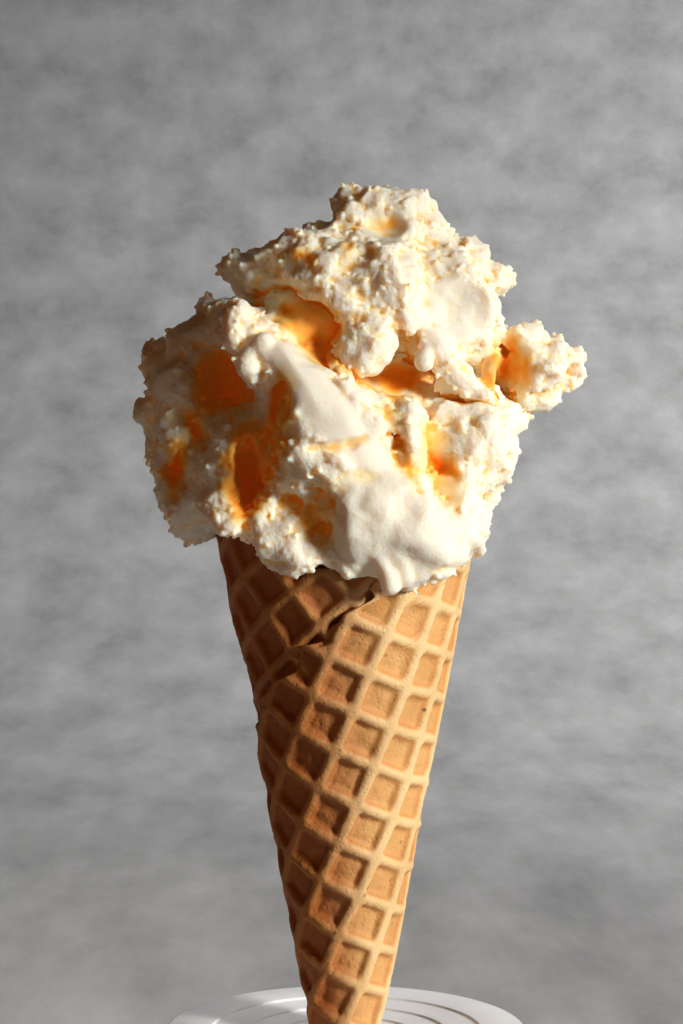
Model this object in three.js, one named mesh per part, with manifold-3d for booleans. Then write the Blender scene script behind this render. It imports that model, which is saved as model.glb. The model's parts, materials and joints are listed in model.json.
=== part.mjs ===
// Rolled waffle cone with two rough scoops of vanilla ice cream, standing in a round holder.
// Millimetres, +Z up, origin at the centre of the holder's underside, front towards -Y.
import * as THREE from "three";
import Module from "manifold-3d";
import { mergeVertices } from "three/addons/utils/BufferGeometryUtils.js";
import { ImprovedNoise } from "three/addons/math/ImprovedNoise.js";

const wasm = await Module();
wasm.setup();
const { Manifold } = wasm;
const { degToRad } = THREE.MathUtils;
const noise = new ImprovedNoise();

// Gap kept between neighbours.
const GAP = 0.3;

// Holder: a turned drum whose top is dished in fine steps round a conical socket.
const HOLDER_R = 42.8;
const HOLDER_H = 40;
const HOLDER_FOOT_R = 42.2;
const HOLDER_EDGE = 0.9;
const STEP_RADII = [32.4, 24.2, 16.85, 13.2];
const STEP_DROP = 0.6;
const STEP_SLOPE = 0.2;
const SOCKET_FLOOR = 5.5;
const HOLDER_SEGMENTS = 24;

// Cone: slants are measured from the apex of its surface, turns in degrees round the axis.
const HALF_ANGLE = degToRad(10.526);
const SIN = Math.sin(HALF_ANGLE);
const COS = Math.cos(HALF_ANGLE);
const APEX_Z = HOLDER_H - 45.54;
const TIP_SLANT = 13.6;
const RIM_SLANT = 170;
const RIM_DIP = 11;
const RIM_DIP_AT = 12;
const RIM_DIP_WIDTH = 42;
const SHEET = 1.7;
const WAFER_R = 92;
const WAFER_CENTRE = [75.3, 53];
const RIM_WALL = 3.4;
const CAVITY = [
  [120, 3.6],
  [60, 4.6],
];
const CAVITY_END_SLANT = 30;
const CONE_COLUMNS = 24;
const FREE_EDGE_REACH = -14;
const SEAM_FOOT = 40;
const SEAM_RINGS = 10;
const WAIST_SLANT = 84;

// Waffle grid, square in the flat wafer: its ribs lean to the right of the slant.
const GRID_PITCH = [10.12, 10.25];
const GRID_LEAN = degToRad(25);
const GRID_ORIGIN = [131.2, -7.9];
const POCKET_TOP = 3.95;
const POCKET_FLOOR = 3.1;
const POCKET_DEPTH = 1.1;
const POCKET_FIRST_SLANT = 47;

// Ice cream: lumps are placed from the centre of the cone's mouth.
const MOUTH_Z = HOLDER_H + 120;
const FACET = 4.2;
const CRAG = 8.5;

// A three.js geometry as a solid: shared vertices merged, collapsed triangles dropped.
function solid(geometry) {
  const bare = new THREE.BufferGeometry();
  bare.setAttribute("position", geometry.getAttribute("position"));
  bare.setIndex(geometry.index);
  const merged = mergeVertices(bare, 1e-4);
  const index = merged.index.array;
  const kept = [];
  for (let i = 0; i < index.length; i += 3) {
    const [a, b, c] = [index[i], index[i + 1], index[i + 2]];
    if (a !== b && b !== c && c !== a) kept.push(a, b, c);
  }
  const vertProperties = new Float32Array(merged.attributes.position.array);
  const triVerts = new Uint32Array(kept);
  return new Manifold(new wasm.Mesh({ numProp: 3, vertProperties, triVerts }));
}

function meshOf(name, body, material) {
  const { vertProperties, triVerts } = body.getMesh();
  const geometry = new THREE.BufferGeometry();
  geometry.setAttribute("position", new THREE.BufferAttribute(vertProperties, 3));
  geometry.setIndex(new THREE.BufferAttribute(triVerts, 1));
  geometry.computeVertexNormals();
  const mesh = new THREE.Mesh(geometry, material);
  mesh.name = name;
  return mesh;
}

// Loose slivers left by a cut are dropped: a piece is its largest body.
function largest(body) {
  return body.decompose().reduce((a, b) => (a.volume() > b.volume() ? a : b));
}

// LatheGeometry turns about Y: this stands it up along Z.
function lathe(profile, segments) {
  const points = profile.map(([r, z]) => new THREE.Vector2(r, z));
  return new THREE.LatheGeometry(points, segments).rotateX(Math.PI / 2);
}

// ---- Holder ----
function holderBody() {
  const profile = [
    [0, 0],
    [HOLDER_FOOT_R - HOLDER_EDGE, 0],
    [HOLDER_FOOT_R, HOLDER_EDGE],
    [HOLDER_R, HOLDER_H - 1.2],
    [HOLDER_R - 0.3, HOLDER_H - 0.35],
    [HOLDER_R - 1.1, HOLDER_H],
  ];
  STEP_RADII.forEach((radius, i) => {
    profile.push([radius, HOLDER_H - i * STEP_DROP]);
    profile.push([radius - STEP_SLOPE, HOLDER_H - (i + 1) * STEP_DROP]);
  });
  const floorZ = HOLDER_H - STEP_RADII.length * STEP_DROP;
  const socketRadius = (z) => (z - APEX_Z) * (SIN / COS) + GAP / COS;
  profile.push([socketRadius(floorZ), floorZ]);
  profile.push([socketRadius(SOCKET_FLOOR), SOCKET_FLOOR]);
  profile.push([0, SOCKET_FLOOR]);
  return solid(lathe(profile, HOLDER_SEGMENTS));
}

// ---- Cone ----
// Turn at which the rolled wafer's free edge lies at a slant: the edge of a flat disc that
// passes through the apex, with a nick broken out of it near the rim.
function seamTurn(slant) {
  const [u, v] = WAFER_CENTRE;
  const reach = Math.hypot(u, v);
  const cosine = (slant ** 2 + reach ** 2 - WAFER_R ** 2) / (2 * slant * reach);
  const flat = Math.atan2(v, u) - Math.acos(THREE.MathUtils.clamp(cosine, -1, 1));
  const nick = 17 * Math.exp(-(((slant - 162) / 6) ** 2));
  const tear = 9 * Math.exp(-(((slant - 126.5) / 2.2) ** 2));
  return THREE.MathUtils.radToDeg(flat / SIN) - nick - tear;
}

// Point of the cone's skin at a slant and a turn (0 is the front, 90 the right).
function onCone(slant, turn, inset = 0) {
  const a = degToRad(turn);
  const radius = slant * SIN - inset * COS;
  const z = APEX_Z + slant * COS + inset * SIN;
  return [radius * Math.sin(a), -radius * Math.cos(a), z];
}

function rimSlant(turn) {
  const off = THREE.MathUtils.euclideanModulo(turn - RIM_DIP_AT + 180, 360) - 180;
  return RIM_SLANT - RIM_DIP * Math.exp(-((off / RIM_DIP_WIDTH) ** 2));
}

// How far the skin lies inside the first turn's, after going round by a number of degrees:
// the sheet draws in just before it slips under its own free edge.
const rolledInset = (round) => SHEET * THREE.MathUtils.smoothstep(round, 270, 345);

// The shell without its overlap: straight generators, an oblique rim and a hollow inside.
// Below the waist every second generator runs into the one before it.
function coneShell(grow) {
  const rows = 5 + CAVITY.length;
  const profile = [new THREE.Vector2(0, 0)];
  for (let j = 1; j < rows; j++) profile.push(new THREE.Vector2(1, j));
  profile.push(new THREE.Vector2(0, rows));
  const geometry = new THREE.LatheGeometry(profile, CONE_COLUMNS);
  const position = geometry.attributes.position;
  for (let k = 0; k <= CONE_COLUMNS; k++) {
    const column = k % CONE_COLUMNS;
    const turn = (column * 360) / CONE_COLUMNS;
    const paired = ((column - (column % 2)) * 360) / CONE_COLUMNS;
    const rim = rimSlant(turn) + grow;
    const points = [
      [0, 0, APEX_Z + TIP_SLANT * COS - 0.6 - grow],
      onCone(TIP_SLANT, paired, -grow),
      onCone(WAIST_SLANT, paired, -grow),
      onCone(rim, turn, -grow),
      onCone(rim, turn, RIM_WALL + grow),
      ...CAVITY.map(([slant, wall]) => onCone(slant, paired, wall + grow)),
      [0, 0, APEX_Z + CAVITY_END_SLANT * COS],
    ];
    points.forEach(([x, y, z], j) => position.setXYZ(k * points.length + j, x, y, z));
  }
  return solid(geometry);
}

// A box whose corners are carried onto the roll by a rule.
function carried(across, along, rule) {
  const geometry = new THREE.BoxGeometry(2, 2, 2, across, along, 1);
  const position = geometry.attributes.position;
  for (let i = 0; i < position.count; i++) {
    const place = rule(position.getX(i), position.getY(i), position.getZ(i) > 0);
    if (!place) return null;
    position.setXYZ(i, ...onCone(...place));
  }
  return solid(geometry);
}

// The space that the drawn-in sheet leaves outside it, up to the free edge's step.
function overlapRecess() {
  const rounds = [272, 294, 316, 338, 359.6];
  return carried(rounds.length - 1, SEAM_RINGS, (x, y, outer) => {
    const round = rounds[Math.round(((x + 1) / 2) * (rounds.length - 1))];
    const slant = SEAM_FOOT + ((RIM_SLANT + 6 - SEAM_FOOT) * (y + 1)) / 2;
    return [slant, seamTurn(slant) + round, outer ? -5 : rolledInset(round)];
  });
}

// One tapered pocket of the waffle, centred at a place of the flat wafer.
function pocket(u0, v0) {
  return carried(1, 1, (x, y, outer) => {
    const half = outer ? POCKET_TOP + 0.6 : POCKET_FLOOR;
    const u = u0 + half * (y * Math.cos(GRID_LEAN) - x * Math.sin(GRID_LEAN));
    const v = v0 + half * (y * Math.sin(GRID_LEAN) + x * Math.cos(GRID_LEAN));
    const slant = Math.hypot(u, v);
    const turn = THREE.MathUtils.radToDeg(Math.atan2(v, u) / SIN);
    const round = turn - seamTurn(slant);
    const onLayer = round > FREE_EDGE_REACH && round < 356 && slant > POCKET_FIRST_SLANT;
    if (!onLayer || slant > rimSlant(turn) + 3) return null;
    const above = 1 + POCKET_TOP ** 2 / (slant * SIN);
    return [slant, turn, rolledInset(round) + (outer ? -above : POCKET_DEPTH)];
  });
}

function coneBody() {
  const cutters = [];
  for (let i = -20; i <= 20; i++) {
    for (let j = -20; j <= 20; j++) {
      const du = (i + 0.5) * GRID_PITCH[0];
      const dv = (j + 0.5) * GRID_PITCH[1];
      const u = GRID_ORIGIN[0] + du * Math.cos(GRID_LEAN) - dv * Math.sin(GRID_LEAN);
      const v = GRID_ORIGIN[1] + du * Math.sin(GRID_LEAN) + dv * Math.cos(GRID_LEAN);
      const cutter = Math.hypot(u, v) < RIM_SLANT ? pocket(u, v) : null;
      if (cutter) cutters.push(cutter);
    }
  }
  return largest(coneShell(0).subtract(overlapRecess()).subtract(Manifold.union(cutters)));
}

// ---- Ice cream ----
// Height of the crags at a point: rounded knobs with creases between them.
function crag(p) {
  const [x, y, z] = [p.x / CRAG, p.y / CRAG, p.z / CRAG];
  const coarse = noise.noise(x + 3.7, y, z);
  const fine = noise.noise(2.1 * x, 2.1 * y + 5.3, 2.1 * z);
  return 2.2 * Math.abs(coarse) + 0.9 * Math.abs(fine) - 0.65 + 0.6 * coarse;
}

// A named lump made ready: an ellipsoid of three half sizes, turned about its own centre.
function ready({ at, size, turn = [0, 0, 0], rough = 0, blend = 1.5 }) {
  const spin = new THREE.Quaternion().setFromEuler(new THREE.Euler(...turn.map(degToRad)));
  return {
    at: new THREE.Vector3(...at),
    size: new THREE.Vector3(...size),
    spin,
    back: spin.clone().invert(),
    rough,
    blend,
  };
}

// Distance from a point to a lump's skin, near enough for walking up to it.
const q = new THREE.Vector3();
function distance(p, { at, size, back }) {
  q.copy(p).sub(at).applyQuaternion(back).divide(size);
  const k0 = q.length();
  const k1 = q.divide(size).length();
  return k1 < 1e-9 ? -Math.min(size.x, size.y, size.z) : (k0 * (k0 - 1)) / k1;
}

// Distance to the lumps run together, less the hollows, with the crags laid on.
function mass(p, lumps, hollows) {
  let d = Infinity;
  let weight = 0;
  let rough = 0;
  for (const lump of lumps) {
    const e = distance(p, lump);
    const w = Math.exp(-THREE.MathUtils.clamp(e, -20, 40) / 1.6);
    weight += w;
    rough += w * lump.rough;
    const h = Math.max(lump.blend - Math.abs(d - e), 0) / lump.blend;
    d = Math.min(d, e) - (Number.isFinite(d) ? (h * h * lump.blend) / 4 : 0);
  }
  d -= (rough / weight) * crag(p);
  for (const hollow of hollows) {
    const e = -distance(p, hollow);
    const h = Math.max(hollow.blend - Math.abs(d - e), 0) / hollow.blend;
    d = Math.max(d, e) + (h * h * hollow.blend) / 4;
  }
  return d;
}

// A ball whose points are walked in along their rays until they meet the mass.
function scoop(centre, lumps, hollows, detail, grow = 0) {
  const parts = lumps.map(ready);
  const cuts = hollows.map(ready);
  const ball = new THREE.IcosahedronGeometry(1, detail);
  const position = ball.attributes.position;
  const from = new THREE.Vector3(...centre);
  const p = new THREE.Vector3();
  const ray = new THREE.Vector3();
  for (let i = 0; i < position.count; i++) {
    ray.fromBufferAttribute(position, i).normalize();
    let t = 80;
    for (let n = 0; n < 90; n++) {
      const d = mass(p.copy(from).addScaledVector(ray, t), parts, cuts) - grow;
      if (d < 0.02 || t < 1) break;
      t -= d * 0.75;
    }
    position.setXYZ(i, p.x, p.y, p.z);
  }
  return solid(ball).translate([0, 0, MOUTH_Z]);
}

// An overhanging lump: one roughened ellipsoid.
function knob(spec, grow = 0) {
  const { at, size, spin, rough } = ready(spec);
  const reach = Math.cbrt(size.x * size.y * size.z);
  const detail = Math.max(1, Math.round((reach * 1.9) / FACET) - 1);
  const ball = new THREE.IcosahedronGeometry(1, detail);
  const position = ball.attributes.position;
  const out = new THREE.Vector3();
  const p = new THREE.Vector3();
  for (let i = 0; i < position.count; i++) {
    out.fromBufferAttribute(position, i).normalize();
    p.copy(out).multiply(size).applyQuaternion(spin).add(at);
    p.addScaledVector(out.applyQuaternion(spin), rough * crag(p) + grow);
    position.setXYZ(i, p.x, p.y, p.z);
  }
  return solid(ball).translate([0, 0, MOUTH_Z]);
}

// Lower scoop: core, torn left side, scraped ridge, melted lobe over the cone, broken right.
const LOWER_CENTRE = [-2, 3, 16];
const LOWER = [
  { name: "core", at: [-3, 4, 18], size: [33, 31, 27], rough: 1.0 },
  { name: "left_top", at: [-35.5, -3, 33], size: [10.5, 14, 10.5], rough: 1.8 },
  { name: "left_corner", at: [-43, 0, 40], size: [4.2, 6, 4.2], rough: 1.0 },
  { name: "left_mid", at: [-38.5, -2, 22], size: [8, 13, 12], rough: 1.8 },
  { name: "left_low", at: [-35.5, -3, 9], size: [8.5, 14, 10.5], rough: 1.8 },
  { name: "left_under", at: [-35, -2, 2], size: [6, 10, 4.5], rough: 1.2 },
  { name: "left_rib", at: [-30, -17, 22], size: [4, 6, 10], turn: [0, -8, 0], rough: 1.6 },
  { name: "left_step", at: [-22, -16, 14], size: [12, 10, 14], rough: 1.6 },
  { name: "left_foot", at: [-20, -20, 4.5], size: [12, 8, 5.5], rough: 1.2 },
  { name: "shelf", at: [-35, -4, 43.5], size: [8.5, 10, 5], turn: [0, -32, 0], rough: 1.4 },
  { name: "shelf_top", at: [-28, -8, 48], size: [5.5, 8, 5], rough: 1.4 },
  { name: "knob", at: [-22, -19, 45.5], size: [7.5, 9, 8.5], rough: 0.9 },
  { name: "knob_peak", at: [-15.6, -21, 50.5], size: [3.2, 5, 7], turn: [0, -24, 0], rough: 0.5 },
  { name: "ridge", at: [-4, -25, 27], size: [23, 11.5, 11], turn: [0, 50, 0], rough: 0.3 },
  { name: "ridge_foot", at: [-6.5, -27, 19], size: [8.5, 9.5, 13], turn: [0, -6, 0], rough: 0.8 },
  { name: "flap", at: [-9.5, -27, -2], size: [11, 5, 6.5], turn: [0, 12, 0], rough: 0.9 },
  { name: "lobe", at: [15, -22, 4], size: [15.5, 14.5, 13.5], rough: 0.4, blend: 4 },
  { name: "lobe_lip", at: [11, -27, -5], size: [12, 6, 6], turn: [0, 8, 0], rough: 0.3, blend: 4 },
  { name: "lobe_right", at: [24, -13, 1], size: [8, 12, 8.5], rough: 0.5, blend: 3 },
  { name: "plate", at: [14.5, -28, 24.4], size: [5.5, 6, 9.5], turn: [0, -19, 0], rough: 1.0 },
  { name: "cliff", at: [28, -16, 21], size: [10.5, 13.5, 12], turn: [0, -15, 0], rough: 1.8 },
  { name: "cliff_side", at: [32.5, -5, 22], size: [7.5, 13, 10.5], rough: 1.8 },
  { name: "cliff_foot", at: [32, -3, 13], size: [6, 12, 5.5], rough: 1.2 },
  { name: "bench", at: [35.5, -8, 28], size: [6.5, 8, 4.2], rough: 1.2 },
  { name: "back_left", at: [-24, 14, 30], size: [15, 14, 14], rough: 1.8 },
  { name: "back_low", at: [-8, 22, 12], size: [16, 14, 12], rough: 1.8 },
  { name: "back_right", at: [16, 18, 20], size: [15, 14, 15], rough: 1.8 },
  { name: "back_top", at: [-14, 16, 42], size: [14, 13, 8], rough: 1.6 },
];
const LOWER_HOLLOWS = [
  { name: "groove_left", at: [-31.5, -24, 33], size: [4.5, 9, 12], blend: 2 },
  { name: "gap", at: [-3, -33, 43], size: [20, 14, 6], turn: [0, 32, 0], blend: 1.5 },
  { name: "gap_deep", at: [13, -30, 35], size: [8, 12, 4], blend: 1.5 },
  { name: "plate_groove", at: [20.5, -33, 17], size: [3, 9, 11], turn: [0, -12, 0], blend: 1.5 },
  { name: "under_ridge", at: [-19.5, -34, 24], size: [6, 10, 15], turn: [0, 8, 0], blend: 2 },
  { name: "beside_lobe", at: [-8, -37, 5], size: [7, 8, 8], turn: [0, 10, 0], blend: 2 },
];
const LOWER_KNOBS = [
  { name: "left_nub", at: [-44.6, -3, 27.5], size: [4, 6, 4], rough: 0.6 },
  { name: "crest_nub", at: [-32.3, -4, 51.4], size: [2.6, 4, 2.6], rough: 0.4 },
  { name: "bead", at: [-22.5, -27, 38], size: [3.2, 3.4, 3.2] },
  { name: "drip_a", at: [10.0, -31.0, -7.6], size: [3, 3, 5] },
  { name: "drip_b", at: [13.4, -30.0, -6.6], size: [2.6, 2.6, 4.4] },
  { name: "drip_c", at: [30, -5, -3.2], size: [2.6, 3.5, 4.8], turn: [0, 8, 0] },
  { name: "drip_d", at: [30, -4, 2.7], size: [3, 5, 5] },
];

// Upper scoop: core, crest, left arm, rough front with a hanging flap, scraped face, nugget.
const UPPER_CENTRE = [10, 2, 55];
const UPPER = [
  { name: "core", at: [10, 2, 54], size: [24, 23, 20], rough: 0.4, blend: 3 },
  { name: "crest_a", at: [3.5, 2, 74.6], size: [7, 11, 5.2], rough: 1.2 },
  { name: "crest_b", at: [10.5, 1, 73], size: [9, 12, 5.8], turn: [0, 18, 0], rough: 1.0 },
  { name: "crest_c", at: [19, 1, 66.8], size: [9, 12, 6], turn: [0, 32, 0], rough: 1.2 },
  { name: "crest_d", at: [26, 0, 61], size: [8, 12, 6.5], turn: [0, 38, 0], rough: 1.2 },
  { name: "shoulder", at: [-6, -2, 65], size: [8, 10, 6.2], turn: [0, -10, 0], rough: 1.6 },
  { name: "back_lump", at: [-17.5, 12, 63.8], size: [5, 6, 4], rough: 1.0 },
  { name: "arm", at: [-16.5, -4, 59.5], size: [10.5, 10, 5.2], turn: [0, 8, 0], rough: 1.6 },
  { name: "arm_low", at: [-18, 0, 56], size: [7.5, 9, 4.5], turn: [0, 15, 0], rough: 1.2 },
  { name: "mass_a", at: [-5, -13, 60], size: [10.5, 11, 8], turn: [0, 20, 0], rough: 1.8 },
  { name: "mass_b", at: [0, -17, 52.5], size: [10.5, 10, 10.5], rough: 1.8 },
  { name: "mass_c", at: [9, -18, 56], size: [9, 8, 10], turn: [0, -25, 0], rough: 1.4 },
  { name: "fold", at: [11.5, -22.5, 56], size: [3.4, 5, 12], turn: [0, -28, 0], rough: 0.7 },
  { name: "face", at: [23, -10, 50], size: [12.5, 13, 14], turn: [0, -20, 0], rough: 0.4 },
  { name: "nugget_root", at: [36, 0, 38], size: [7.5, 8, 7.5], rough: 0.8 },
  { name: "back_left", at: [-3, 14, 58], size: [12, 12, 10], rough: 1.6 },
  { name: "back_right", at: [18, 15, 56], size: [13, 12, 12], rough: 1.8 },
  { name: "back_crest", at: [9, 12, 69], size: [12, 10, 7], rough: 1.4 },
];
const UPPER_HOLLOWS = [
  { name: "dimple", at: [9, -14, 71.5], size: [6, 6, 4.2], blend: 2 },
  { name: "scrape", at: [27, -30, 53], size: [15, 11, 10], turn: [0, 35, 0], blend: 1.5 },
];
const UPPER_KNOBS = [
  { name: "arm_tip", at: [-26, -4, 61.5], size: [3.2, 4.2, 3.2], rough: 0.6 },
  { name: "corner", at: [33.8, -4, 57.6], size: [4.4, 7, 3.6], rough: 0.5 },
  { name: "flap", at: [3.6, -23.5, 43.6], size: [6.6, 5.6, 6.8], rough: 1.0 },
  { name: "lip", at: [22.8, -21, 39.5], size: [3.6, 5, 10.5], turn: [0, -36, 0], rough: 0.5 },
  { name: "lip_foot", at: [29, -17.5, 32.4], size: [8, 6, 3.2], turn: [0, 8, 0], rough: 0.5 },
  { name: "hook", at: [33.7, -16.5, 36], size: [2.5, 3.4, 6], turn: [0, 8, 0], rough: 0.4 },
  { name: "bead", at: [17.0, -27, 39.8], size: [2.5, 3.5, 2.5] },
  { name: "nugget", at: [44.5, -6, 38], size: [7.5, 8, 8.5], rough: 1.6 },
  { name: "nugget_end", at: [52.2, -5, 36.6], size: [3.8, 4.6, 5.2], rough: 0.8 },
  { name: "nugget_top", at: [41.5, -6, 44.6], size: [5.8, 6.5, 4], rough: 0.9 },
  { name: "nugget_foot", at: [44.5, -6, 30.6], size: [6, 6, 3.8], rough: 0.9 },
];
const UPPER_CUTS = [
  { name: "nugget_hollow", at: [37, -16.5, 36.5], size: [3, 8, 8], turn: [0, 8, 0] },
];

const knobs = (list, grow) => list.map((k) => knob(k, grow));
const upper = largest(
  Manifold.union([scoop(UPPER_CENTRE, UPPER, UPPER_HOLLOWS, 9), ...knobs(UPPER_KNOBS)]).subtract(
    Manifold.union(knobs(UPPER_CUTS)),
  ),
);
const upperRoom = Manifold.union([
  scoop(UPPER_CENTRE, UPPER, UPPER_HOLLOWS, 6, 1.6),
  ...knobs(UPPER_KNOBS, GAP),
]);
const lower = largest(
  Manifold.union([scoop(LOWER_CENTRE, LOWER, LOWER_HOLLOWS, 11), ...knobs(LOWER_KNOBS)])
    .subtract(upperRoom)
    .subtract(coneShell(GAP)),
);

const part = new THREE.Group();
part.name = "ice_cream_cone";
part.add(
  meshOf(
    "holder",
    holderBody(),
    new THREE.MeshStandardMaterial({ color: 0xc9ccd0, roughness: 0.6, metalness: 0 }),
  ),
  meshOf(
    "cone",
    coneBody(),
    new THREE.MeshStandardMaterial({ color: 0xdfa55f, roughness: 0.75, metalness: 0 }),
  ),
  meshOf(
    "lower_scoop",
    lower,
    new THREE.MeshStandardMaterial({ color: 0xf8ebcd, roughness: 0.45, metalness: 0 }),
  ),
  meshOf(
    "upper_scoop",
    upper,
    new THREE.MeshStandardMaterial({ color: 0xf9edd2, roughness: 0.45, metalness: 0 }),
  ),
);

export default part;
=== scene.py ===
"""A rolled waffle cone of rough vanilla ice cream, standing in a small white turned holder."""

import json
import math

import bmesh
import bpy
import numpy as np
import openvdb as vdb
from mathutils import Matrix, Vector

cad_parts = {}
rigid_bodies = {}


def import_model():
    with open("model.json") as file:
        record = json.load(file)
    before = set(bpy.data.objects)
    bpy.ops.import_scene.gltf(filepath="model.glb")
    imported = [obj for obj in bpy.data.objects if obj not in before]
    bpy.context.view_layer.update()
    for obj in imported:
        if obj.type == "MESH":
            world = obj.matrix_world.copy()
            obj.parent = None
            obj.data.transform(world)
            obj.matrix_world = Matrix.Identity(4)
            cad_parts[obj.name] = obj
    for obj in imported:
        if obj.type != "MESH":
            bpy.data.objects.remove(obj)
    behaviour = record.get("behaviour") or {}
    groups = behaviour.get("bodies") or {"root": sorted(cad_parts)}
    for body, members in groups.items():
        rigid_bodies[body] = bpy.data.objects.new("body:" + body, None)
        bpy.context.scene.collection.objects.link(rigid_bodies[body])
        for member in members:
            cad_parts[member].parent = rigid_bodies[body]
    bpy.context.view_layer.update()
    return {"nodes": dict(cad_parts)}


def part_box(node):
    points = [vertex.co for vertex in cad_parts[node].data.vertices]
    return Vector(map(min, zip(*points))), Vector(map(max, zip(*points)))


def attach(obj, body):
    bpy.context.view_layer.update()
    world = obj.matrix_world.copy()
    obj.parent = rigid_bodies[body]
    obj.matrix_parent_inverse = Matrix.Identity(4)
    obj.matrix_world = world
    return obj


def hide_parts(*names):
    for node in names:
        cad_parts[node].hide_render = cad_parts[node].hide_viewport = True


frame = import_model()

# ---- Table, backdrop and camera ----
# A plain pale grey table that sweeps up into the wall behind it. One small hard lamp on the right
# does most of the lighting, a weak warm one fills the left, and three panels light the wall, the
# floor and the back. A long lens looks from a little above the cone's mouth.
MM = 0.001
SWEEP_WIDTH = 4.0
SWEEP_DEPTH = 3.4
SWEEP_HEIGHT = 1.6
WALL_AT = 1.1
SWEEP_BEND = 0.5
LENS = 100
CAMERA_AT = (-1.06 * MM, -666.4 * MM, 216.1 * MM)
CAMERA_PITCH = 85.5
SUBJECT = Vector((0, 0, 0.125))
KEY_AT = (0.95, -0.67, 0.47)
FILL_AT = (-0.95, -0.9, 0.32)
BACK_PANEL_AT = (0.15, 0.95, 0.8)
WALL_PANEL_AT = (1.0, 0.5, 1.75)
WALL_PANEL_AIM = Vector((0.8, WALL_AT, 0.40))
FLOOR_PANEL_AT = (0, -2.0, 1.0)
FLOOR_PANEL_AIM = Vector((0, -2.0, 0))
ROOM_GLOW = 0.005


def only(*chosen):
    """Nothing stays selected but these objects, and the last one is active."""
    bpy.ops.object.select_all(action="DESELECT")
    for item in chosen:
        item.select_set(True)
        bpy.context.view_layer.objects.active = item


def new_material(name, colour, roughness):
    """A material of one plain colour to start from, with its node tree and its shader."""
    material = bpy.data.materials.new(name)
    material.use_nodes = True
    shader = material.node_tree.nodes["Principled BSDF"]
    shader.inputs["Base Color"].default_value = (*colour, 1)
    shader.inputs["Roughness"].default_value = roughness
    return material, material.node_tree, shader


def add_node(tree, kind, links=None, **settings):
    """A shader node with its settings, and its inputs linked from other nodes' outputs or set."""
    node = tree.nodes.new(kind)
    for key, value in settings.items():
        setattr(node, key, value)
    for socket, source in (links or {}).items():
        if isinstance(source, bpy.types.NodeSocket):
            tree.links.new(source, node.inputs[socket])
        else:
            node.inputs[socket].default_value = source
    return node


def shared_effect(name, given, result, kind):
    """A shader node group with named sockets, and the ends of it that its nodes are linked to."""
    group = bpy.data.node_groups.new(name, "ShaderNodeTree")
    for socket, socket_kind in given.items():
        group.interface.new_socket(name=socket, in_out="INPUT", socket_type=socket_kind)
    group.interface.new_socket(name=result, in_out="OUTPUT", socket_type=kind)
    start = group.nodes.new("NodeGroupInput")
    end = group.nodes.new("NodeGroupOutput")
    return group, start.outputs, end.inputs[0]


FLOAT = "NodeSocketFloat"
VECTOR = "NodeSocketVector"
COLOUR = "NodeSocketColor"
noise_sockets = {"Vector": VECTOR, "Scale": FLOAT, "Detail": FLOAT}

# Clouded: two colours run together by soft noise.
cloud_sockets = {"Roughness": FLOAT, "Low": FLOAT, "High": FLOAT, "Dark": COLOUR, "Light": COLOUR}
clouded, given, result = shared_effect("clouded", noise_sockets | cloud_sockets, "Color", COLOUR)
noise = add_node(clouded, "ShaderNodeTexNoise", {
    "Vector": given["Vector"], "Scale": given["Scale"],
    "Detail": given["Detail"], "Roughness": given["Roughness"],
})
share = add_node(clouded, "ShaderNodeMapRange", {
    "Value": noise.outputs["Fac"], "From Min": given["Low"], "From Max": given["High"],
})
blend = add_node(clouded, "ShaderNodeMix", data_type="RGBA")
clouded.links.new(share.outputs["Result"], blend.inputs["Factor"])
clouded.links.new(given["Dark"], blend.inputs["A"])
clouded.links.new(given["Light"], blend.inputs["B"])
clouded.links.new(blend.outputs["Result"], result)

# Grained: a bump of fine noise, with any coarser height laid under it.
grain_sockets = {"Share": FLOAT, "Height": FLOAT, "Strength": FLOAT, "Distance": FLOAT}
grained, given, result = shared_effect("grained", noise_sockets | grain_sockets, "Normal", VECTOR)
noise = add_node(grained, "ShaderNodeTexNoise", {
    "Vector": given["Vector"], "Scale": given["Scale"], "Detail": given["Detail"],
})
raised = add_node(grained, "ShaderNodeMath", {
    0: noise.outputs["Fac"], 1: given["Share"], 2: given["Height"],
}, operation="MULTIPLY_ADD")
bump = add_node(grained, "ShaderNodeBump", {
    "Height": raised.outputs["Value"], "Strength": given["Strength"], "Distance": given["Distance"],
})
grained.links.new(bump.outputs["Normal"], result)


def wall_plaster():
    """Pale grey plaster, a little clouded."""
    material, tree, shader = new_material("wall_plaster", (0.40, 0.40, 0.41), 0.9)
    place = add_node(tree, "ShaderNodeTexCoord").outputs["Object"]
    parts = add_node(tree, "ShaderNodeSeparateXYZ", {"Vector": place}).outputs
    up = add_node(tree, "ShaderNodeMath", {
        0: parts["Y"], 1: 0.35, 2: parts["Z"],
    }, operation="MULTIPLY_ADD")
    flat = add_node(tree, "ShaderNodeCombineXYZ", {"X": parts["X"], "Y": up.outputs["Value"]})
    cloud = add_node(tree, "ShaderNodeGroup", {
        "Vector": flat.outputs["Vector"], "Scale": 30.0, "Detail": 7.0, "Roughness": 0.62,
        "Low": 0.25, "High": 0.75,
        "Dark": (0.27, 0.27, 0.272, 1), "Light": (0.53, 0.53, 0.532, 1),
    }, node_tree=clouded)
    tree.links.new(cloud.outputs["Color"], shader.inputs["Base Color"])
    return material


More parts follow.
